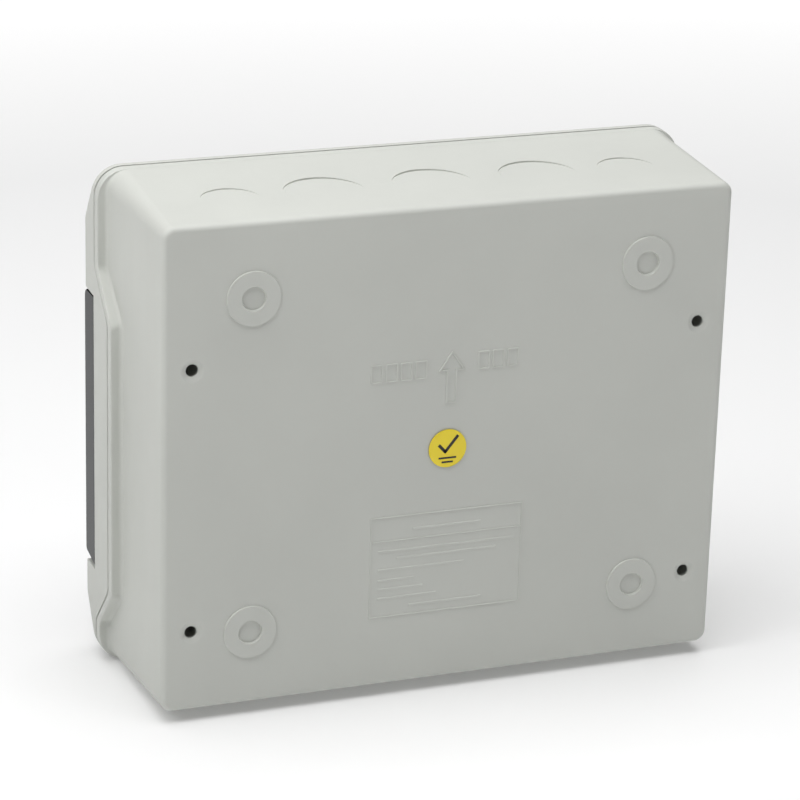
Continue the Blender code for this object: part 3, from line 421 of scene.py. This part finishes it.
def make_cover():
    rim = from_split(SPLIT_GAP)
    cover = loft(
        "cover_shell",
        [
            ring(fixed(124.6, 86.2, 5.0), TOTAL_DEPTH - WALL),
            ring(fixed(126.1, 89.0, 6.0), 86.3),
            ring(fixed(126.5, 105.1, 9.5), COVER_EDGE - 0.6),
            ring(flange(WALL), rim),
            ring(flange(0.3), rim),
            ring(flange(0.09), from_split(SPLIT_GAP + 0.09)),
            ring(flange(), from_split(SPLIT_GAP + 0.3)),
            ring(fixed(129.12, FLANGE_HALF_HEIGHT - 0.02, 12.0), 75.4),
            ring(fixed(129.1, FLANGE_HALF_HEIGHT - 0.06, 12.0), COVER_EDGE),
            ring(fixed(129.08, FLANGE_HALF_HEIGHT - 0.3, 12.0), COVER_EDGE + 0.5),
            ring(fixed(129.05, FLANGE_HALF_HEIGHT - 0.65, 11.9), COVER_EDGE + 0.95),
            ring(fixed(129.0, FLANGE_HALF_HEIGHT - 1.15, 11.8), COVER_EDGE + 1.4),
            ring(fixed(128.6, 91.4, 8.5), 87.6),
            ring(fixed(128.4, 90.0, 8.2), 88.6),
            ring(fixed(128.1, 88.9, 7.6), 89.2),
            ring(fixed(127.5, 87.9, 7.0), 89.7),
            ring(fixed(126.7, 87.2, 6.5), 89.93),
            ring(fixed(125.8, 86.5, 6.0), TOTAL_DEPTH),
        ],
    )
    pan_low = (-127.6, RECESS_FLOOR - WALL, RECESS_BOTTOM - WALL)
    pan_high = (127.6, 88.5, RECESS_TOP + WALL)
    screws = mirrored(SCREW_X, (SCREW_Z, -SCREW_Z))
    column_rear = SPLIT_DEPTH + SPLIT_GAP
    well_low = (-RECESS_HALF_WIDTH, RECESS_FLOOR, RECESS_BOTTOM + 0.1)
    well_high = (RECESS_HALF_WIDTH, 78, RECESS_TOP - 0.1)
    window_low = (-WINDOW_HALF_WIDTH, 62, RAIL_Z - WINDOW_HALF_HEIGHT)
    window_high = (WINDOW_HALF_WIDTH, 70, RAIL_Z + WINDOW_HALF_HEIGHT)
    seat = [(0, SCREW_SEAT), (5.2, SCREW_SEAT), (5.2, 89.2), (5.9, 90.2), (5.9, 92), (0, 92)]
    screw_bore = drum(column_rear - 1, SCREW_SEAT + 1, 2.4)
    arms, eyes, bores = [], bmesh.new(), bmesh.new()
    for side in (-1, 1):
        low, high = sorted(side * x for x in HINGE_ARM_SPAN)
        arms.append(((low, RECESS_FLOOR - 1, HINGE_Z - 2.2), (high, HINGE_DEPTH, HINGE_Z + 2.2)))
        along = Vector((side, 0, 0))
        base = at(0, HINGE_DEPTH, HINGE_Z)
        turned(eyes, base, along, drum(*HINGE_EYE_SPAN, HINGE_EYE), 32)
        turned(bores, base, along, drum(118.0, 126.1, HINGE_BORE), 20)
    carve(
        cover,
        [
            ("UNION", tool_block((pan_low, pan_high))),
            ("UNION", turned_tool(screws, FORWARD, drum(column_rear, 88.4, 6.5), 40)),
            ("DIFFERENCE", recess_tool()),
            ("DIFFERENCE", tool_block((well_low, well_high))),
            ("DIFFERENCE", tool_block((window_low, window_high))),
            ("DIFFERENCE", turned_tool(screws, FORWARD, seat, 40)),
            ("DIFFERENCE", turned_tool(screws, FORWARD, screw_bore, 24)),
            ("UNION", tool_block(*arms)),
            ("UNION", new_object("tool", eyes)),
            ("DIFFERENCE", new_object("tool", bores)),
        ],
    )
    return cover


def make_door():
    corners = [
        (DOOR_REAR, DOOR_BOTTOM),
        (DOOR_FRONT, DOOR_BOTTOM_FRONT),
        (DOOR_FRONT, DOOR_TOP),
        (DOOR_REAR, DOOR_TOP),
    ]
    bm = bmesh.new()
    outline_prism(bm, rounded(corners, [0.5, 2.2, 3.2, 1.2], 7), -DOOR_HALF_WIDTH, DOOR_HALF_WIDTH)
    door = new_object("door_shell", bm)
    inner = DOOR_HALF_WIDTH - DOOR_THICK
    hollow = bmesh.new()
    rear, front = DOOR_REAR - 4, DOOR_FRONT - DOOR_THICK
    bottom, top = DOOR_BOTTOM - 4, DOOR_TOP + 4
    inside = [(rear, bottom), (front, bottom), (front, top), (rear, top)]
    outline_prism(hollow, inside, -inner, inner)
    pockets, bores = [], bmesh.new()
    for side in (-1, 1):
        low, high = sorted((side * 119.2, side * (inner - 0.05)))
        pockets.append(((low, DOOR_REAR, HINGE_Z - 3.2), (high, DOOR_FRONT - 1.2, DOOR_TOP + 2)))
        along = Vector((side, 0, 0))
        turned(bores, at(0, HINGE_DEPTH, HINGE_Z), along, drum(inner - 1, 128.0, HINGE_BORE), 20)
    carve(
        door,
        [
            ("DIFFERENCE", new_object("tool", hollow)),
            ("DIFFERENCE", tool_block(*pockets)),
            ("DIFFERENCE", new_object("tool", bores)),
        ],
    )
    bevel = door.modifiers.new("soft_edges", "BEVEL")
    bevel.width = 0.45 * MM
    bevel.segments = 3
    bevel.limit_method = "ANGLE"
    bevel.angle_limit = math.radians(50)
    bevel.use_clamp_overlap = False
    door.modifiers.move(len(door.modifiers) - 1, 0)
    return door


# ---------------------------------------------------------------- reliefs on the back


def ridge(bm, points, width, height, closed=False):
    """A raised line with sloping flanks on the back face, along (x, z) points."""
    places = [Vector(point) for point in points]
    count = len(places)
    rows = []
    for i, here in enumerate(places):
        before = places[i - 1] if closed or i else None
        after = places[(i + 1) % count] if closed or i < count - 1 else None
        a = (here - before).normalized() if before is not None else (after - here).normalized()
        b = (after - here).normalized() if after is not None else a
        normal = (Vector((-a.y, a.x)) + Vector((-b.y, b.x))).normalized()
        stretch = 1 / max(normal.dot(Vector((-a.y, a.x))), 0.4)
        row = []
        for across, rise in ((-0.5, -0.1), (-0.34, height), (0.34, height), (0.5, -0.1)):
            spot = here + normal * across * width * stretch
            row.append(bm.verts.new(at(spot.x, -rise, spot.y)))
        rows.append(row)
    pairs = list(zip(rows, rows[1:]))
    if closed:
        pairs.append((rows[-1], rows[0]))
    for near, far in pairs:
        for i in range(3):
            bm.faces.new((near[i], near[i + 1], far[i + 1], far[i]))
    if not closed:
        bm.faces.new(rows[0])
        bm.faces.new(rows[-1])


def make_reliefs():
    """The raised arrow and plain frames, and the framed panel of plain lines, on the back face."""
    marks = bmesh.new()
    arrow = [(0, 40.8), (-5.2, 33.2), (-2.0, 33.2), (-2.0, 19.3), (2.0, 19.3), (2.0, 33.2), (5.2, 33.2)]
    ridge(marks, arrow, 0.8, 0.42, closed=True)
    for left, base, count in ((11.0, 30.6, 4), (-29.0, 32.4, 3)):
        for k in range(count):
            x = left + k * 6.4
            box = [(x, base), (x + 4.6, base), (x + 4.6, base + 7.4), (x, base + 7.4)]
            ridge(marks, rounded(box, 0.5, 3), 0.8, 0.38, closed=True)
    panel = bmesh.new()
    border = [(-33.3, -28.2), (33.3, -28.2), (33.3, -72.2), (-33.3, -72.2)]
    ridge(panel, border, 0.7, 0.32, closed=True)
    ridge(panel, [(-33.2, -38.7), (33.2, -38.7)], 0.6, 0.26)
    lines = [(-34.4, 15, -15), (-43.2, 30, -30), (-46.6, 22, -22), (-51.4, 30, -8)]
    lines += [(-56.0, 30, 14), (-60.0, 30, 10), (-64.0, 30, 4), (-68.2, 16, -16)]
    for z, left, right in lines:
        ridge(panel, [(right, z), (left, z)], 1.3, 0.2)
    return new_object("back_marks", marks, 30), new_object("back_panel_frame", panel, 30)


# ---------------------------------------------------------------- materials


class Nodes:
    """Short-hand for building one material's nodes."""

    def __init__(self, name):
        self.material = bpy.data.materials.new(name)
        self.material.use_nodes = True
        self.tree = self.material.node_tree
        self.shader = self.tree.nodes["Principled BSDF"]
        self.place = self.add("ShaderNodeTexCoord").outputs["Object"]

    def add(self, kind, **values):
        node = self.tree.nodes.new(kind)
        for key, value in values.items():
            setattr(node, key, value)
        return node

    def link(self, source, target):
        self.tree.links.new(source, target)

    def noise(self, scale, detail=3.0, stretch=None, roughness=0.5):
        node = self.add("ShaderNodeTexNoise")
        node.inputs["Scale"].default_value = scale
        node.inputs["Detail"].default_value = detail
        node.inputs["Roughness"].default_value = roughness
        source = self.place
        if stretch:
            mapping = self.add("ShaderNodeMapping")
            mapping.inputs["Scale"].default_value = stretch
            self.link(self.place, mapping.inputs["Vector"])
            source = mapping.outputs["Vector"]
        self.link(source, node.inputs["Vector"])
        return node.outputs["Fac"]

    def remap(self, source, low, high, out_low, out_high):
        node = self.add("ShaderNodeMapRange")
        keys = ("From Min", "From Max", "To Min", "To Max")
        for key, value in zip(keys, (low, high, out_low, out_high)):
            node.inputs[key].default_value = value
        self.link(source, node.inputs["Value"])
        return node.outputs["Result"]

    def mix(self, factor, a, b):
        """A colour between a and b, each a colour or a socket."""
        node = self.add("ShaderNodeMix", data_type="RGBA")
        self.link(factor, node.inputs["Factor"])
        for socket, value in ((node.inputs[6], a), (node.inputs[7], b)):
            if isinstance(value, tuple):
                socket.default_value = (*value, 1.0)
            else:
                self.link(value, socket)
        return node.outputs[2]

    def bump(self, heights):
        """Chains (height socket, distance in metres, strength) bumps into the shader."""
        normal = None
        for height, distance, strength in heights:
            node = self.add("ShaderNodeBump")
            node.inputs["Distance"].default_value = distance
            node.inputs["Strength"].default_value = strength
            self.link(height, node.inputs["Height"])
            if normal is not None:
                self.link(normal, node.inputs["Normal"])
            normal = node.outputs["Normal"]
        self.link(normal, self.shader.inputs["Normal"])

    def edges(self):
        """1 on worn outer edges, 0 elsewhere."""
        point = self.add("ShaderNodeNewGeometry").outputs["Pointiness"]
        return self.remap(point, 0.52, 0.60, 0.0, 1.0)


def shade(colour, factor):
    return tuple(min(1.0, part * factor) for part in colour)


def plastic(name, colour, roughness=0.45, grain=1.0, wear=0.5, specular=0.5):
    m = Nodes(name)
    cloud = m.noise(14.0, 4.0)
    tint = m.mix(m.remap(cloud, 0.3, 0.7, 0.0, 1.0), shade(colour, 0.975), shade(colour, 1.025))
    worn = m.mix(m.edges(), tint, shade(colour, 1.0 + 0.16 * wear))
    specks = m.remap(m.noise(900.0, 2.0), 0.66, 0.78, 0.0, 0.35)
    m.link(m.mix(specks, worn, shade(colour, 0.93)), m.shader.inputs["Base Color"])
    scuffs = m.noise(60.0, 5.0, stretch=(1.0, 1.0, 0.25), roughness=0.65)
    m.link(m.remap(scuffs, 0.35, 0.7, roughness - 0.05, roughness + 0.09), m.shader.inputs["Roughness"])
    m.shader.inputs["Specular IOR Level"].default_value = specular
    fine = m.noise(2600.0, 2.0)
    soft = m.noise(420.0, 3.0)
    m.bump([(soft, 0.00004, 0.35 * grain), (fine, 0.00003, 0.5 * grain)])
    return m.material


def metal(name, colour, roughness=0.3, brush=(1.0, 1.0, 30.0)):
    m = Nodes(name)
    lines = m.noise(120.0, 4.0, stretch=brush)
    cloud = m.noise(90.0, 4.0)
    tint = m.mix(m.remap(cloud, 0.35, 0.65, 0.0, 1.0), shade(colour, 0.86), shade(colour, 1.06))
    m.link(m.mix(m.edges(), tint, shade(colour, 1.25)), m.shader.inputs["Base Color"])
    m.link(m.remap(lines, 0.3, 0.7, roughness - 0.08, roughness + 0.14), m.shader.inputs["Roughness"])
    m.shader.inputs["Metallic"].default_value = 1.0
    m.bump([(lines, 0.00003, 0.4), (m.noise(1500.0, 2.0), 0.00002, 0.25)])
    return m.material


def cable(name, colour):
    m = Nodes(name)
    cloud = m.noise(160.0, 3.0)
    colours = m.mix(m.remap(cloud, 0.35, 0.65, 0.0, 1.0), shade(colour, 0.88), shade(colour, 1.1))
    m.link(colours, m.shader.inputs["Base Color"])
    m.link(m.remap(m.noise(500.0, 3.0), 0.3, 0.7, 0.38, 0.56), m.shader.inputs["Roughness"])
    m.bump([(m.noise(800.0, 3.0), 0.00005, 0.4)])
    return m.material


def smoked(name, colour, clearness, ior):
    """Tinted polycarbonate, from opaque at a clearness of 0 to clear at 1."""
    m = Nodes(name)
    cloud = m.noise(25.0, 3.0)
    m.link(m.mix(cloud, shade(colour, 0.93), shade(colour, 1.07)), m.shader.inputs["Base Color"])
    m.link(m.remap(m.noise(90.0, 5.0), 0.4, 0.75, 0.04, 0.12), m.shader.inputs["Roughness"])
    m.shader.inputs["Transmission Weight"].default_value = clearness
    m.shader.inputs["IOR"].default_value = ior
    m.shader.inputs["Specular IOR Level"].default_value = 0.35
    m.bump([(m.noise(60.0, 2.0), 0.00004, 0.15)])
    return m.material


def film(name, darker, lighter):
    """A thin sticker film, clouded between two colours."""
    m = Nodes(name)
    cloud = m.noise(120.0, 3.0)
    m.link(m.mix(cloud, darker, lighter), m.shader.inputs["Base Color"])
    m.link(m.remap(m.noise(700.0, 3.0), 0.3, 0.7, 0.3, 0.42), m.shader.inputs["Roughness"])
    m.shader.inputs["Coat Weight"].default_value = 0.25
    m.bump([(m.noise(300.0, 3.0), 0.00005, 0.4)])
    return m.material


GREY = plastic("grey_moulding", (0.600, 0.612, 0.575), 0.52, 1.0, 0.1, 0.28)
WHITE = plastic("white_moulding", (0.74, 0.74, 0.71), 0.40, 0.8)
DARK = plastic("dark_moulding", (0.035, 0.036, 0.040), 0.42, 1.0, 2.0)
RED = plastic("red_moulding", (0.50, 0.035, 0.025), 0.34, 0.8)
GREEN = plastic("green_moulding", (0.03, 0.26, 0.09), 0.42, 0.8)
CERAMIC = plastic("ceramic", (0.80, 0.79, 0.74), 0.25, 0.5)
ZINC = metal("zinc_plate", (0.60, 0.61, 0.62), 0.32, (30.0, 1.0, 1.0))
COPPER = metal("copper", (0.80, 0.40, 0.24), 0.28)
BRASS = metal("brass", (0.74, 0.56, 0.24), 0.28)
RUBBER = plastic("rubber", (0.030, 0.030, 0.032), 0.75, 2.0, 0.5, 0.25)
SMOKED = smoked("smoked_polycarbonate", (0.355, 0.365, 0.395), 0.94, 1.5)
# Painted shade: the door's side walls get an opaque, near-black copy of the smoked polycarbonate,
# standing in for the dark look of the long view path through its clear edges.
SMOKED_SIDE_PAINTED_SHADE = smoked("smoked_polycarbonate_side_painted_shade", (0.014, 0.015, 0.017), 0.0, 1.2)
YELLOW = film("yellow_film", (0.86, 0.66, 0.012), (0.95, 0.76, 0.02))
INK = plastic("black_ink", (0.012, 0.012, 0.012), 0.4, 0.5)
LAMP_GREEN = plastic("indicator_green", (0.02, 0.42, 0.06), 0.3, 0.4)
RED_SHEATH = cable("red_sheath", (0.45, 0.02, 0.02))
BLACK_SHEATH = cable("black_sheath", (0.02, 0.02, 0.022))
GREEN_SHEATH = cable("green_sheath", (0.10, 0.32, 0.03))


def dress(obj, material):
    obj.data.materials.clear()
    obj.data.materials.append(material)


def add_piece(obj, material, body, slot=None, *replaced):
    dress(obj, material)
    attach(obj, body)
    if replaced:
        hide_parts(*replaced)


# ---------------------------------------------------------------- carried-over CAD nodes

# Start of the node's name, material, edge width. The first match counts.
LOOKS = (
    ("fuse_base", WHITE, 0.35),
    ("fuse_carrier", WHITE, 0.12),
    ("fuse_link", CERAMIC, 0.25),
    ("fuse_rail_clip", DARK, 0.2),
    ("spd_base", DARK, 0.35),
    ("spd_cartridge", RED, 0.4),
    ("spd_rail_clip", DARK, 0.2),
    ("breaker_body", WHITE, 0.35),
    ("breaker_toggle", DARK, 0.5),
    ("breaker_rail_clip", DARK, 0.2),
    ("blanking_strip", GREY, 0.3),
    ("din_rail", ZINC, 0.12),
    ("rail_screw", ZINC, 0.15),
    ("cover_screw", ZINC, 0.2),
    ("hinge_pin", ZINC, 0.0),
    ("earth_bar_holder", GREEN, 0.25),
    ("earth_bar_screw", BRASS, 0.12),
    ("earth_bar", BRASS, 0.25),
    ("busbar", COPPER, 0.15),
    ("cover_gasket", RUBBER, 0.3),
    ("round_sticker", YELLOW, 0.0),
    ("wire_fuses_to_breaker_positive", RED_SHEATH, 0.0),
    ("wire_fuses_to_breaker_negative", BLACK_SHEATH, 0.0),
    ("wire_fuses_to_spd_positive", RED_SHEATH, 0.0),
    ("wire_fuses_to_spd_negative", BLACK_SHEATH, 0.0),
    ("wire_spd_to_earth_bar", GREEN_SHEATH, 0.0),
)


def refine(obj, width):
    """Gives a CAD node soft edges and clean shading without touching its own mesh."""
    weld = obj.modifiers.new("weld", "WELD")
    weld.merge_threshold = 0.002 * MM
    if width:
        flat = obj.modifiers.new("flats", "DECIMATE")
        flat.decimate_type = "DISSOLVE"
        flat.angle_limit = math.radians(0.5)
        flat.delimit = {"NORMAL"}
        bevel = obj.modifiers.new("soft_edges", "BEVEL")
        bevel.width = width * MM
        bevel.segments = 2
        bevel.limit_method = "ANGLE"
        bevel.angle_limit = math.radians(32)
        bevel.use_clamp_overlap = True
    weight_normals(obj)
    obj.data.shade_smooth()


for name, node in NODES.items():
    for prefix, material, width in LOOKS:
        if name.startswith(prefix):
            dress(node, material)
            refine(node, width)
            break

add_piece(make_housing(), GREY, "housing", "rear_housing", "rear_housing")
add_piece(make_cover(), GREY, "cover", "front_cover", "front_cover")
door = make_door()
add_piece(door, SMOKED, "door", "window_door", "window_door")
# Painted shade: faces near the door's sides take the dark, opaque copy of the smoked polycarbonate
# instead of the clear one.
door.data.materials.append(SMOKED_SIDE_PAINTED_SHADE)
painted_shade_side_begins = (DOOR_HALF_WIDTH - 0.8 * DOOR_THICK) * MM
for face in door.data.polygons:
    if abs(face.center.x) > painted_shade_side_begins:
        face.material_index = 1
for relief in make_reliefs():
    add_piece(relief, GREY, "housing", "rear_housing")


# ---------------------------------------------------------------- small visual details


def make_sticker_print():
    """A plain tick over two short bars."""
    bm = bmesh.new()
    lines = [([(3.6, 1.4), (1.0, -1.4), (-4.2, 5.0)], 1.3)]
    lines += [([(-half, z), (half, z)], 0.8) for z, half in ((-4.1, 3.6), (-5.9, 2.2))]
    for points, width in lines:
        printed_line(bm, [(STICKER_X + x, STICKER_Z + z) for x, z in points], width)
    return new_object("sticker_print", bm, 0)


def printed_line(bm, points, width, thick=0.02):
    """A printed line along (x, z) points on the sticker."""
    for a, b in zip(map(Vector, points), map(Vector, points[1:])):
        along = (b - a).normalized() * width / 2
        side = Vector((-along.y, along.x))
        start, end = a - along * 0.7, b + along * 0.7
        corners = [start + side, start - side, end - side, end + side]
        near = [bm.verts.new(at(c.x, STICKER_FACE, c.y)) for c in corners]
        far = [bm.verts.new(at(c.x, STICKER_FACE - thick, c.y)) for c in corners]
        bm.faces.new(near)
        bm.faces.new(far[::-1])
        for i in range(4):
            j = (i + 1) % 4
            bm.faces.new((near[i], near[j], far[j], far[i]))


def make_terminal_screws(name, centres, rise, front):
    """Cross-slotted screw heads down the terminal holes of one device."""
    bm = bmesh.new()
    profile = [(0, 0), (2.55, 0), (2.55, 2.6), (2.2, 3.0), (0, 3.0)]
    base = front - 8.9
    places = [(x, base, RAIL_Z + side * rise) for x in centres for side in (-1, 1)]
    for place in places:
        turned(bm, at(*place), FORWARD, profile, 28)
    heads = new_object(name, bm)
    floor, top = base + 1.9, base + 4
    cuts = []
    for half_x, half_z in ((3.2, 0.45), (0.45, 3.2)):
        slots = [((x - half_x, floor, z - half_z), (x + half_x, top, z + half_z)) for x, _, z in places]
        cuts.append(("DIFFERENCE", tool_block(*slots)))
    carve(heads, cuts)
    return heads


def make_flag(name, x):
    """The small state flag on the front of one surge cartridge."""
    low, high = RAIL_Z + FLAG_LOW, RAIL_Z + FLAG_HIGH
    corners = [(FLAG_REAR, low), (FLAG_FRONT, low), (FLAG_FRONT, high), (FLAG_REAR, high)]
    bm = bmesh.new()
    outline_prism(bm, rounded(corners, 0.2, 3), x - FLAG_HALF_WIDTH, x + FLAG_HALF_WIDTH)
    return new_object(name, bm)


def module_x(index):
    """The middle of one module place in the row of devices."""
    return ROW_START + (index + 0.5) * MODULE


# Device, first module, modules, height of its screws above and below the rail, front of its terminals
TERMINALS = [(f"fuse_{way + 1}", way, 1, 31.0, 59.0) for way in range(4)]
TERMINALS += [("spd", 4, 3, 34.0, 58.0), ("breaker", 7, 2, 31.0, 61.0)]

add_piece(make_sticker_print(), INK, "housing", "round_sticker")
for device, first, count, rise, front in TERMINALS:
    centres = [module_x(first + k) for k in range(count)]
    screws = make_terminal_screws(f"terminal_screws_{device}", centres, rise, front)
    add_piece(screws, ZINC, "housing")
for pole in range(3):
    cartridge = f"spd_cartridge_{pole + 1}"
    add_piece(make_flag(f"spd_flag_{pole + 1}", module_x(4 + pole)), LAMP_GREEN, cartridge, cartridge)


# ---------------------------------------------------------------- stage, light and camera

FLOOR_HALF_WIDTH, FLOOR_DROP = 9.0, 0.0004
GLOW_START, GLOW_END, GLOW_NEAR, GLOW_FAR = 0.75, 2.2, 0.14, 0.9
WORLD_STRENGTH = 0.02
# Name, place, target and size in metres, watts
LIGHTS = (
    ("top_softbox", (0.1, 0.2, 2.2), (0.1, 0.2, 0.0), (2.2, 2.2), 54.5),
    ("side_softbox", (0.75, 0.15, 0.75), (0.12, 0.02, 0.16), (0.5, 0.5), 2.8),
    ("fill_softbox", (-0.9, 1.1, 1.1), (-0.05, 0, 0.12), (0.6, 0.6), 1.1),
    ("backdrop_softbox", (-0.6, -2.0, 1.4), (-0.6, -2.2, 0.0), (3.0, 1.2), 12.0),
)
CAMERA_AZIMUTH, CAMERA_ELEVATION, CAMERA_ROLL = 158.63, 19.63, 1.59  # degrees
CAMERA_RIGHT, CAMERA_UP, CAMERA_BACK = -20.2, 19.0, 1355.0
CAMERA_LENS = 149.265


def make_floor():
    """A wide pale floor with painted light: it glows, faintly near the box and more strongly far from it,
    to look like a brightly lit studio floor.
    """
    bm = bmesh.new()
    half = FLOOR_HALF_WIDTH
    corners = ((-half, half), (half, half), (half, -half), (-half, -half))
    bm.faces.new([bm.verts.new((x, y, -FLOOR_DROP)) for x, y in corners])
    floor = new_object("floor", bm, 0)
    m = Nodes("pale_floor")
    tone = m.mix(m.noise(3.0, 3.0), (0.79, 0.79, 0.79), (0.81, 0.81, 0.81))
    m.link(tone, m.shader.inputs["Base Color"])
    m.shader.inputs["Roughness"].default_value = 0.8
    m.shader.inputs["Specular IOR Level"].default_value = 0.2
    m.shader.inputs["Emission Color"].default_value = (1.0, 1.0, 1.0, 1.0)
    distance = m.add("ShaderNodeVectorMath", operation="LENGTH")
    m.link(m.place, distance.inputs[0])
    # Painted light: the floor's emission strength rises with distance from the box.
    glow = m.remap(distance.outputs["Value"], GLOW_START, GLOW_END, GLOW_NEAR, GLOW_FAR)
    m.link(glow, m.shader.inputs["Emission Strength"])
    dress(floor, m.material)


def add_light(name, place, target, size, energy):
    data = bpy.data.lights.new(name, "AREA")
    data.shape = "RECTANGLE"
    data.size, data.size_y = size
    data.energy = energy
    light = bpy.data.objects.new(name, data)
    bpy.context.scene.collection.objects.link(light)
    light.location = place
    light.rotation_euler = (Vector(target) - Vector(place)).to_track_quat("-Z", "Y").to_euler()


def make_camera():
    azimuth, elevation = math.radians(CAMERA_AZIMUTH), math.radians(CAMERA_ELEVATION)
    roll = math.radians(CAMERA_ROLL)
    level = math.cos(elevation)
    back = Vector((math.sin(azimuth) * level, -math.cos(azimuth) * level, math.sin(elevation)))
    right = UP.cross(back).normalized()
    up = back.cross(right)
    right, up = (
        math.cos(roll) * right + math.sin(roll) * up,
        -math.sin(roll) * right + math.cos(roll) * up,
    )
    place = (CAMERA_RIGHT * right + CAMERA_UP * up + CAMERA_BACK * back) * MM
    data = bpy.data.cameras.new("camera")
    data.lens = CAMERA_LENS
    data.sensor_width = 36.0
    data.clip_start, data.clip_end = 0.05, 20.0
    camera = bpy.data.objects.new("camera", data)
    bpy.context.scene.collection.objects.link(camera)
    turn = Matrix((right, up, back)).transposed().to_4x4()
    camera.matrix_world = Matrix.Translation(place + at(0, 0, 0)) @ turn
    bpy.context.scene.camera = camera


make_floor()
bpy.context.scene.view_settings.view_transform = "Standard"
world = bpy.data.worlds.new("studio")
world.use_nodes = True
background = world.node_tree.nodes["Background"]
background.inputs["Color"].default_value = (1.0, 1.0, 1.0, 1.0)
background.inputs["Strength"].default_value = WORLD_STRENGTH
bpy.context.scene.world = world
for light in LIGHTS:
    add_light(*light)
make_camera()
